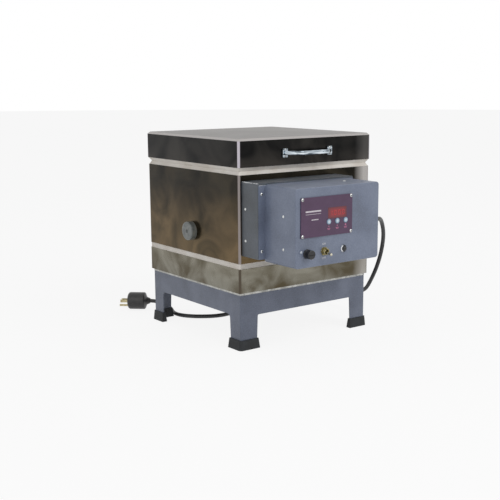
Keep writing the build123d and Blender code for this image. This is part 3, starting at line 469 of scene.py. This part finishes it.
def finished(name, form, body, finish, smooth=True):
    """Turns a bmesh into a piece of that body, in that finish and slot."""
    mesh = bpy.data.meshes.new(name)
    form.to_mesh(mesh)
    form.free()
    mesh.materials.append(finish)
    if smooth:
        mesh.shade_smooth()
    else:
        mesh.shade_flat()
    piece = bpy.data.objects.new(name, mesh)
    scene.collection.objects.link(piece)
    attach(piece, body)
    return piece


wire_oxide, shader, where = start_finish("wire_oxide", 0.62, 0.6)
scale_marks = noise(wire_oxide, where, 140.0, Detail=4.0)
tinted(wire_oxide, shader, scale_marks, (0.35, (66, 58, 52)), (0.7, (112, 100, 88)))
finish = dress(wire_oxide, "heating_elements", "terminal_pins", "thermocouple_sheath")
coils = finished("heating_coils", form, "case", finish)
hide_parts("heating_elements")

# Terminal bushes, thermocouple block and peephole plug: pressed ceramic, unglazed and a little
# sooty; the bushes and the block sit in the case, the plug is pulled out by hand.
bush_ceramic, shader, where = start_finish("bush_ceramic", 0.5)
cream = noise(bush_ceramic, where, 50.0, Detail=5.0)
tinted(bush_ceramic, shader, cream, (0.3, (196, 188, 170)), (0.7, (222, 216, 202)))
dress(bush_ceramic, "terminal_bushes", "thermocouple_block")
plug_ceramic, shader, where = start_finish("plug_ceramic", 0.36, Coat_Weight=0.25, Coat_Roughness=0.3)
soot = noise(plug_ceramic, where, 75.0, Detail=6.0, Distortion=0.8)
tinted(plug_ceramic, shader, soot, (0.32, (88, 92, 92)), (0.55, (112, 116, 114)), (0.75, (136, 133, 124)))
relief(plug_ceramic, shader, noise(plug_ceramic, where, 500.0), 0.0002, 0.5)
dress(plug_ceramic, "peephole_plug")


# Control base and cover: folded sheet in the stand's hammer enamel. The cover's side flanges are
# screwed to the base, the base is riveted to the case, and a ragged painted highlight runs pale
# along both top left edges.
def box_paint(name, deep, base, pale, edge_x, top, y_low, y_high):
    """The box enamel with a ragged painted highlight along its top left edge, which runs from front to back at
    the given height.
    """
    tree, shader, where = hammer_paint(name, deep, base, pale)
    skin = shader.inputs["Base Color"].links[0].from_socket
    x, y, z = axes(tree, where)
    ragged = noise(tree, where, 170.0, Detail=6.0, Roughness=0.7)
    near_top = ranged(tree, z, (top - 3.4) / 1000, (top - 0.6) / 1000)
    near_edge = ranged(tree, x, (edge_x + 1.2) / 1000, (edge_x + 4.2) / 1000, 1.0, 0.0)
    behind = maths(tree, "GREATER_THAN", y, y_low / 1000)
    before = maths(tree, "LESS_THAN", y, y_high / 1000)
    along = maths(tree, "MULTIPLY", behind, before)
    reach = maths(tree, "MULTIPLY", maths(tree, "MULTIPLY", near_top, near_edge), along)
    # Painted highlight: pale ragged flecks along the top left edge.
    painted_edge_highlight = ranged(tree, maths(tree, "MULTIPLY", reach, ragged), 0.40, 0.47)
    surface(tree, shader, blended(tree, painted_edge_highlight, skin, colour(226, 228, 230)))
    return tree


base_enamel = box_paint(
    "base_enamel",
    deep=(64, 69, 74),
    base=(75, 81, 88),
    pale=(86, 92, 101),
    edge_x=-159.0,
    top=328.0,
    y_low=-216,
    y_high=-166,
)
dress(base_enamel, "control_base")
cover_enamel = box_paint(
    "cover_enamel",
    deep=(102, 110, 128),
    base=(112, 121, 141),
    pale=(124, 133, 153),
    edge_x=-143.7,
    top=325.3,
    y_low=-250,
    y_high=-214,
)
dress(cover_enamel, "control_cover")


# Screws and rivets: cold-headed steel, zinc-plated. The screws have pan heads with a cross recess,
# and the rivets plain domes.
def plated(name):
    """Zinc plate, bright with a few dull spots."""
    tree, shader, where = start_finish(name, 0.3, 1.0)
    dull = noise(tree, where, 320.0, Detail=4.0)
    tinted(tree, shader, dull, (0.35, (186, 188, 186)), (0.7, (226, 228, 228)))
    return tree, shader, where


def mirrored(tree, axis, middle, half):
    """How far a coordinate lies from the nearer of two places, set evenly about a middle."""
    inner = maths(tree, "ABSOLUTE", maths(tree, "SUBTRACT", axis, middle / 1000))
    return maths(tree, "ABSOLUTE", maths(tree, "SUBTRACT", inner, half / 1000))


def cross_recess(tree, shader, across, upright, arm, slot_half):
    """A cross recess about the screw axis, sunk by a bump and darkened with painted shade."""
    narrow = maths(tree, "MINIMUM", across, upright)
    long_way = maths(tree, "MAXIMUM", across, upright)
    in_slot = maths(tree, "LESS_THAN", narrow, slot_half / 1000)
    in_arm = maths(tree, "LESS_THAN", long_way, arm / 1000)
    painted_recess_shade = maths(tree, "MULTIPLY", in_slot, in_arm)
    skin = shader.inputs["Base Color"].links[0].from_socket
    # Painted shade in the recess.
    surface(tree, shader, blended(tree, painted_recess_shade, skin, colour(52, 54, 56)))
    relief(tree, shader, maths(tree, "SUBTRACT", 1.0, painted_recess_shade), 0.0006, 1.0)


# Each set of screws stands in two columns and two rows, given by their middle and half their spacing.
for name, node, columns, rows, arm, slot_half in (
    ("plate_screw_zinc", "plate_screws", (-72.0, 57.8), (271.75, 33.05), 1.7, 0.42),
    ("cover_screw_zinc", "cover_screws", (-42.7, 108.65), (255.0, 53.0), 1.7, 0.42),
    ("foot_screw_zinc", "handle_screws", (-2.0, 56.0), (376.0, 6.4), 1.1, 0.3),
):
    tree, shader, where = plated(name)
    x, _, z = axes(tree, where)
    cross_recess(tree, shader, mirrored(tree, x, *columns), mirrored(tree, z, *rows), arm, slot_half)
    dress(tree, node)
hinge_plate, _, _ = plated("hinge_screw_zinc")
dress(hinge_plate, "body_hinge_screws", "lid_hinge_screws")
rivet_zinc, _, _ = plated("rivet_zinc")
dress(rivet_zinc, "box_rivets")

# Controller plate: a sheet printed deep purple, held by four corner screws, with plain printed
# bars on its left half and a mark for each key: down, up and start.
plate_purple, shader, where = start_finish("plate_purple", 0.4, Coat_Weight=0.2, Coat_Roughness=0.15)
print_cloud = noise(plate_purple, where, 38.0, Detail=3.0)
tinted(plate_purple, shader, print_cloud, (0.3, (70, 42, 72)), (0.72, (80, 52, 84)))
relief(plate_purple, shader, noise(plate_purple, where, 1500.0), 0.00003, 0.6)
dress(plate_purple, "controller_plate")


def printed(name, shade, rough=0.5):
    """Screen ink, faintly uneven."""
    tree, shader, where = start_finish(name, rough)
    worn = noise(tree, where, 900.0, Detail=2.0)
    darker = tuple(c * 0.86 for c in shade)
    tinted(tree, shader, worn, (0.35, darker), (0.6, shade))
    return finish_of(tree)


plate_reach = 309.2
ink = 0.12


def bar(form, x_low, x_high, z_low, z_high, reach, thick):
    """A low slab on a forward face."""
    middle = at((x_low + x_high) / 2, -reach - thick / 2, (z_low + z_high) / 2)
    size = Matrix.Diagonal(((x_high - x_low) / 1000, thick / 1000, (z_high - z_low) / 1000, 1))
    bmesh.ops.create_cube(form, size=1.0, matrix=Matrix.Translation(middle) @ size)


form = bmesh.new()
title_left, title_right = -122.5, -86.5
bar(form, title_left, title_right, 281.2, 284.0, plate_reach, ink)
bar(form, title_left, title_right, 277.2, 277.9, plate_reach, ink)
bar(form, -109.0, -92.5, 266.4, 268.0, plate_reach, ink)
finished("plate_bars", form, "case", printed("ink_white", (222, 214, 222)), smooth=False)

form = bmesh.new()
key_places = (-67.9, -47.6, -27.4)
mark_height, mark_radius = 252.2, 1.7
for place, sides, turn in ((key_places[0], 3, -90), (key_places[1], 3, 90), (key_places[2], 20, 0)):
    mark = bmesh.ops.create_circle(
        form,
        cap_ends=True,
        segments=sides,
        radius=mark_radius / 1000,
        matrix=Matrix.Translation(at(place, -plate_reach, mark_height))
        @ Matrix.Rotation(math.pi / 2, 4, "X")
        @ Matrix.Rotation(math.radians(turn), 4, "Z"),
    )["verts"]
    faces = list({face for vert in mark for face in vert.link_faces})
    raised = bmesh.ops.extrude_face_region(form, geom=faces)["geom"]
    outer = [part for part in raised if isinstance(part, bmesh.types.BMVert)]
    bmesh.ops.translate(form, verts=outer, vec=(0, -ink / 1000, 0))
    bar(form, place - 3.6, place + 3.6, 248.0, 248.9, plate_reach, ink)
    bar(form, place - 2.8, place + 2.8, 246.2, 247.1, plate_reach, ink)
bmesh.ops.recalc_face_normals(form, faces=form.faces[:])
finished("key_marks", form, "case", printed("ink_pink", (206, 126, 160)), smooth=False)

# Display: a pane of tinted red plastic, set flush in the plate, with four lit digits made up of
# straight bars, which stand at one thousand.
red_pane, shader, where = start_finish("red_pane", 0.12, Coat_Weight=0.5, Coat_Roughness=0.06)
x, _, z = axes(red_pane, where)
pane_x, pane_z = -47.5, 276.25
lit_x, dim_x, lit_z, dim_z = 14.0, 22.5, 5.0, 10.2
off_x = maths(red_pane, "ABSOLUTE", maths(red_pane, "SUBTRACT", x, pane_x / 1000))
off_z = maths(red_pane, "ABSOLUTE", maths(red_pane, "SUBTRACT", z, pane_z / 1000))
glow_x = ranged(red_pane, off_x, lit_x / 1000, dim_x / 1000, 1.0, 0.0)
glow_z = ranged(red_pane, off_z, lit_z / 1000, dim_z / 1000, 1.0, 0.0)
lit = maths(red_pane, "MULTIPLY", glow_x, glow_z)
tinted(red_pane, shader, lit, (0.0, (92, 16, 32)), (1.0, (138, 20, 36)))
shader.inputs["Emission Color"].default_value = colour(200, 24, 34)
shader.inputs["Emission Strength"].default_value = 0.02
dress(red_pane, "display_window")

digit_light, shader, where = start_finish("digit_light", 0.3)
shader.inputs["Emission Color"].default_value = colour(255, 70, 60)
shader.inputs["Emission Strength"].default_value = 0.06
flicker = noise(digit_light, where, 700.0)
tinted(digit_light, shader, flicker, (0.3, (176, 36, 44)), (0.7, (200, 52, 56)))
form = bmesh.new()
half_wide, half_high, stroke, end_gap, side_gap, proud = 2.5, 4.4, 0.9, 0.6, 0.35, 0.08
bars = {
    "top": (end_gap - half_wide, half_wide - end_gap, half_high - stroke, half_high),
    "foot": (end_gap - half_wide, half_wide - end_gap, -half_high, stroke - half_high),
    "left_high": (-half_wide, stroke - half_wide, side_gap, half_high - side_gap),
    "left_low": (-half_wide, stroke - half_wide, side_gap - half_high, -side_gap),
    "right_high": (half_wide - stroke, half_wide, side_gap, half_high - side_gap),
    "right_low": (half_wide - stroke, half_wide, side_gap - half_high, -side_gap),
}
one = ("right_high", "right_low")
zero = ("top", "foot", "left_high", "left_low", "right_high", "right_low")
digit_pitch = 10.0
for order, digit in enumerate((one, zero, zero, zero)):
    place = pane_x + digit_pitch * (order - 1.5)
    for name in digit:
        x_low, x_high, z_low, z_high = bars[name]
        bar(form, place + x_low, place + x_high, pane_z + z_low, pane_z + z_high, plate_reach, proud)
finished("display_digits", form, "case", finish_of(digit_light), smooth=False)

# Keys: three domed caps of pale blue moulded plastic, set from behind through round holes in the
# plate; each is pressed by itself.
key_blue, shader, where = start_finish("key_blue", 0.34, Coat_Weight=0.2)
x, _, z = axes(key_blue, where)
key_pitch, first_key, key_height, key_half = 20.25, -67.925, 260.7, 5.2
shifted = maths(key_blue, "ADD", x, (key_pitch / 2 - first_key) / 1000)
folded = maths(key_blue, "PINGPONG", shifted, key_pitch / 2000)
off_x = maths(key_blue, "ABSOLUTE", maths(key_blue, "SUBTRACT", folded, key_pitch / 2000))
off_z = maths(key_blue, "SUBTRACT", z, key_height / 1000)
squares = maths(key_blue, "MULTIPLY_ADD", off_z, off_z, maths(key_blue, "MULTIPLY", off_x, off_x))
# Painted light on each key: pale at the crown of its dome, darker towards the rim.
painted_dome_light = ranged(key_blue, maths(key_blue, "SQRT", squares), 0.0, key_half / 1000)
tinted(key_blue, shader, painted_dome_light, (0.2, (214, 226, 232)), (0.75, (150, 176, 198)), (0.95, (112, 134, 160)))
dress(key_blue, "key_left", "key_middle", "key_right")


# Fuse holder and cap: black moulded plastic. The holder stands in a hole of the cover, and the
# cap, with its knurled skirt and driver slot, carries a glass fuse link.
def moulded(name, dark, pale, rough):
    """Black moulding with a fine texture."""
    tree, shader, where = start_finish(name, rough, Coat_Weight=0.15, Coat_Roughness=0.2)
    haze = noise(tree, where, 130.0, Detail=4.0)
    tinted(tree, shader, haze, (0.35, dark), (0.72, pale))
    grit = noise(tree, where, 1800.0)
    relief(tree, shader, grit, 0.00004, 0.6)
    return tree, shader, where


black_moulding, _, _ = moulded("black_moulding", (20, 20, 22), (34, 34, 37), 0.4)
dress(black_moulding, "fuse_holder", "relay", "terminal_block", "push_button")
knurled, shader, where = moulded("knurled_cap", (17, 17, 19), (30, 30, 33), 0.34)
x, y, z = axes(knurled, where)
fuse_x, fuse_z, skirt_front, rib_count = -117.5, 206.3, -320.6, 28.0
from_axis_x = maths(knurled, "SUBTRACT", x, fuse_x / 1000)
from_axis_z = maths(knurled, "SUBTRACT", z, fuse_z / 1000)
angle = maths(knurled, "ARCTAN2", from_axis_z, from_axis_x)
ribs = maths(knurled, "SINE", maths(knurled, "MULTIPLY", angle, rib_count))
on_skirt = maths(knurled, "GREATER_THAN", y, skirt_front / 1000)
relief(knurled, shader, maths(knurled, "MULTIPLY", ribs, on_skirt), 0.0004, 1.0)
dress(knurled, "fuse_cap")
fuse_glass, shader, where = start_finish("fuse_glass", 0.08, 0.0, Transmission_Weight=0.55)
cap_end = noise(fuse_glass, where, 200.0)
tinted(fuse_glass, shader, cap_end, (0.4, (196, 204, 202)), (0.6, (220, 226, 224)))
dress(fuse_glass, "fuse_link")

# Toggle switch: a threaded brass bush with its nut, nickelled and worn yellow, a bat lever, and
# its two settings printed on the cover.
toggle_metal, shader, where = start_finish("toggle_metal", 0.26, 1.0)
_, y, _ = axes(toggle_metal, where)
worn = noise(toggle_metal, where, 260.0, Detail=4.0)
tinted(toggle_metal, shader, worn, (0.34, (112, 100, 58)), (0.55, (158, 148, 104)), (0.75, (196, 192, 176)))
thread_pitch = 0.9
thread = maths(toggle_metal, "SINE", maths(toggle_metal, "MULTIPLY", y, 2000 * math.pi / thread_pitch))
relief(toggle_metal, shader, thread, 0.0002, 0.7)
dress(toggle_metal, "toggle_switch", "toggle_nut")
lever_metal, shader, where = start_finish("lever_metal", 0.2, 1.0)
rubbed = noise(lever_metal, where, 300.0, Detail=3.0)
tinted(lever_metal, shader, rubbed, (0.35, (170, 164, 142)), (0.7, (222, 220, 210)))
dress(lever_metal, "toggle_lever")


cover_reach = 307.2


def words(name, text, x, z, size, finish):
    """Printed letters on the cover's face, as a mesh."""
    letters = bpy.data.curves.new(name, "FONT")
    letters.body = text
    letters.size = size / 1000
    letters.align_x = "CENTER"
    letters.align_y = "CENTER"
    letters.extrude = ink / 2000
    source = bpy.data.objects.new(name, letters)
    scene.collection.objects.link(source)
    bpy.context.view_layer.update()
    mesh = bpy.data.meshes.new_from_object(source.evaluated_get(bpy.context.evaluated_depsgraph_get()))
    bpy.data.objects.remove(source)
    place = Matrix.Translation(at(x, -cover_reach - ink / 2, z))
    mesh.transform(place @ Matrix.Rotation(math.pi / 2, 4, "X"))
    mesh.materials.clear()
    mesh.materials.append(finish)
    piece = bpy.data.objects.new(name, mesh)
    scene.collection.objects.link(piece)
    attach(piece, "case")
    return piece


pale_ink = printed("ink_pale", (226, 228, 232))
toggle_x, letter_height = -77.6, 5.4
words("word_on", "ON", toggle_x, 220.6, letter_height, pale_ink)
words("word_off", "OFF", toggle_x, 194.6, letter_height, pale_ink)

# Push button and lamp: a black cap in a turned and plated bezel, and a small clear plastic lens
# that is set into its own hole beside it.
bezel_chrome, shader, where = start_finish("bezel_chrome", 0.16, 1.0)
lathe_marks = noise(bezel_chrome, where, 400.0, Detail=2.0)
x, _, _ = axes(bezel_chrome, where)
bright_until, dark_from = -35.5, -31.0
lit_side = ranged(bezel_chrome, x, bright_until / 1000, dark_from / 1000, 1.0, 0.0)
shaded_side = stops(bezel_chrome, lathe_marks, (0.3, (44, 45, 48)), (0.7, (66, 67, 70)))
surface(bezel_chrome, shader, blended(bezel_chrome, lit_side, shaded_side, colour(214, 216, 220)))
dress(bezel_chrome, "button_bezel")
lamp_lens, shader, where = start_finish("lamp_lens", 0.12, Coat_Weight=0.6, Coat_Roughness=0.05)
lens_cloud = noise(lamp_lens, where, 300.0)
tinted(lamp_lens, shader, lens_cloud, (0.3, (176, 184, 196)), (0.7, (212, 218, 226)))
dress(lamp_lens, "lamp")

# Behind the cover: the controller's green circuit card, and a transformer with its lacquered core
# and taped winding.
board_green, shader, where = start_finish("board_green", 0.45)
x, _, _ = axes(board_green, where)
track_pitch = 4.0
wave = maths(board_green, "SINE", maths(board_green, "MULTIPLY", x, 2000 * math.pi / track_pitch))
tracks = maths(board_green, "GREATER_THAN", wave, 0.82)
mottle = noise(board_green, where, 60.0)
green = stops(board_green, mottle, (0.3, (24, 74, 46)), (0.7, (34, 92, 58)))
surface(board_green, shader, blended(board_green, tracks, green, colour(58, 118, 74)))
dress(board_green, "controller_board")
core_lacquer, shader, where = start_finish("core_lacquer", 0.5, 0.3)
_, y, _ = axes(core_lacquer, where)
core_sheet = 1.0
plates = maths(core_lacquer, "SINE", maths(core_lacquer, "MULTIPLY", y, 2000 * math.pi / core_sheet))
tinted(core_lacquer, shader, noise(core_lacquer, where, 90.0), (0.35, (70, 62, 56)), (0.7, (98, 88, 78)))
relief(core_lacquer, shader, plates, 0.0002, 0.7)
dress(core_lacquer, "transformer")

# Lid handle: a polished and chromed bow with a flat foot at each end, held by screws through the
# front of the lid's band.
bow_chrome, shader, where = start_finish("bow_chrome", 0.12, 1.0)
# Painted reflection: the chrome's colour runs in stretched bands from dark grey to near white.
reflection_band_coords = add_node(bow_chrome, "Mapping", Vector=where, Scale=(24.0, 60.0, 260.0)).outputs[0]
painted_reflection_bands = noise(bow_chrome, reflection_band_coords, 1.0, Detail=3.0, Distortion=0.6)
painted_reflection_shades = ((0.36, (74, 82, 88)), (0.46, (150, 160, 168)), (0.56, (206, 216, 224)), (0.66, (240, 246, 250)))
tinted(bow_chrome, shader, painted_reflection_bands, *painted_reflection_shades)
relief(bow_chrome, shader, noise(bow_chrome, where, 60.0), 0.0006, 0.3)
dress(bow_chrome, "lid_handle")

# Hinge: two leaves of zinc-plated steel with rolled knuckles on one pin, screwed through the bands
# at the back of the body and the lid.
hinge_zinc, shader, where = start_finish("hinge_zinc", 0.36, 0.9)
film = noise(hinge_zinc, where, 45.0, Detail=5.0, Distortion=0.5)
tinted(hinge_zinc, shader, film, (0.3, (140, 142, 142)), (0.55, (166, 168, 168)), (0.78, (186, 184, 172)))
grain = add_node(hinge_zinc, "Mapping", Vector=where, Scale=(1.0, 30.0, 30.0)).outputs[0]
relief(hinge_zinc, shader, noise(hinge_zinc, grain, 40.0, Detail=3.0), 0.0001, 0.5)
dress(hinge_zinc, "body_hinge", "lid_hinge", "hinge_pin")

# Power cord: heavy three-core rubber lead, out of the cover's right side through a moulded sleeve,
# down past the right side and round behind the stand to its plug.
cord_radius, exit_reach = 4.25, 93.0
cord_rest = cord_radius + 0.05
cord_places = (
    (exit_reach, -240, 238),
    (128, -232, 240),
    (161, -208, 233),
    (186, -190, 205),
    (202, -173, 178),
    (211, -157, 146),
    (213, -143, 115),
    (215, -124, 84),
    (221, -101, 58),
    (229, -64, 44),
    (231, -22, 36),
    (224, 24, 26),
    (207, 68, 13),
    (178, 104, cord_rest),
    (138, 124, cord_rest),
    (93, 122, cord_rest),
    (48, 107, cord_rest),
    (8, 90, cord_rest),
    (-28, 80, cord_rest),
    (-58, 84, cord_rest),
    (-84, 101, cord_rest),
    (-100, 118, cord_rest),
    (-110, 137, cord_rest),
    (-112, 155, cord_rest),
    (-108.3, 173.1, cord_rest),
    (-101.5, 191.3, 7.3),
    (-101.1, 207.5, 11.2),
    (-105.6, 222.0, 15.7),
    (-114.4, 234.6, 18.7),
    (-124.9, 243.9, 19.3),
)
lead = bpy.data.curves.new("power_lead", "CURVE")
lead.dimensions = "3D"
lead.bevel_depth = cord_radius / 1000
lead.bevel_resolution = 5
lead.resolution_u = 12
lead.use_fill_caps = True
spline = lead.splines.new("NURBS")
spline.points.add(len(cord_places) - 1)
for point, place in zip(spline.points, cord_places):
    point.co = (*at(*place), 1)
spline.order_u = 3
spline.use_endpoint_u = True
cord_rubber, _, _ = moulded("cord_rubber", (30, 30, 31), (46, 46, 48), 0.55)
lead.materials.append(finish_of(cord_rubber))
lead_object = bpy.data.objects.new("power_lead", lead)
scene.collection.objects.link(lead_object)
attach(lead_object, "case")
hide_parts("power_cord")

# Strain relief and plug: black rubber mouldings, the sleeve with bending rings, the plug's body
# smooth with a dull face, its blades and round earth pin of nickelled brass.
sleeve_rubber, shader, where = moulded("sleeve_rubber", (24, 24, 26), (38, 38, 41), 0.5)
x, _, _ = axes(sleeve_rubber, where)
sleeve_start, ring_pitch = 64.0, 4.0
on_sleeve = maths(sleeve_rubber, "GREATER_THAN", x, sleeve_start / 1000)
wave = maths(sleeve_rubber, "SINE", maths(sleeve_rubber, "MULTIPLY", x, 2000 * math.pi / ring_pitch))
rings = maths(sleeve_rubber, "MULTIPLY", wave, on_sleeve)
relief(sleeve_rubber, shader, rings, 0.001, 1.0)
dress(sleeve_rubber, "strain_relief")
plug_rubber, _, _ = moulded("plug_rubber", (26, 26, 26), (42, 41, 40), 0.42)
dress(plug_rubber, "plug_body")
blade_brass, shader, where = start_finish("blade_brass", 0.28, 1.0)
rub = noise(blade_brass, where, 260.0, Detail=4.0)
tinted(blade_brass, shader, rub, (0.35, (150, 138, 104)), (0.7, (196, 186, 150)))
dress(blade_brass, "plug_prongs")
